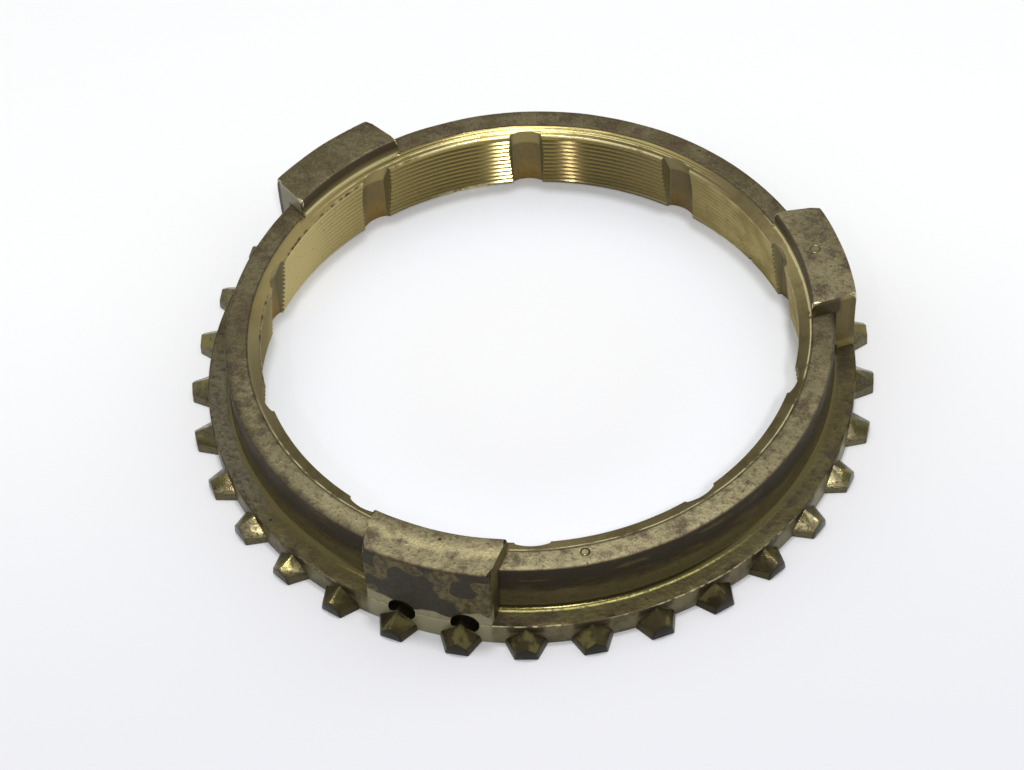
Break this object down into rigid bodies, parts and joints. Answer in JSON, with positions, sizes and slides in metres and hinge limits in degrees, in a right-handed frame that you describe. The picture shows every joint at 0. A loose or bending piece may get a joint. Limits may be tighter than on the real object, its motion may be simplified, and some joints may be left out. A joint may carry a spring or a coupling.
{
  "type": "synchronizer ring",
  "caption": "One-piece brass synchronizer ring with a threaded friction cone, oil grooves, pointed sleeve teeth on a flange and raised lugs that key into the hub.",
  "frame": {"origin": "ring axis at the gear-side face, which the ring rests on", "axes": "+Z along the ring axis from the gear side towards the lugs, one lug centred on -Y"},
  "size_m": [0.0844, 0.0844, 0.0126],
  "materials": {
    "brass": "as-forged brass with a dark brown patina, machined bright in the bore"
  },
  "bodies": {
    "root": {"synchronizer_ring": "brass"}
  },
  "joints": []
}
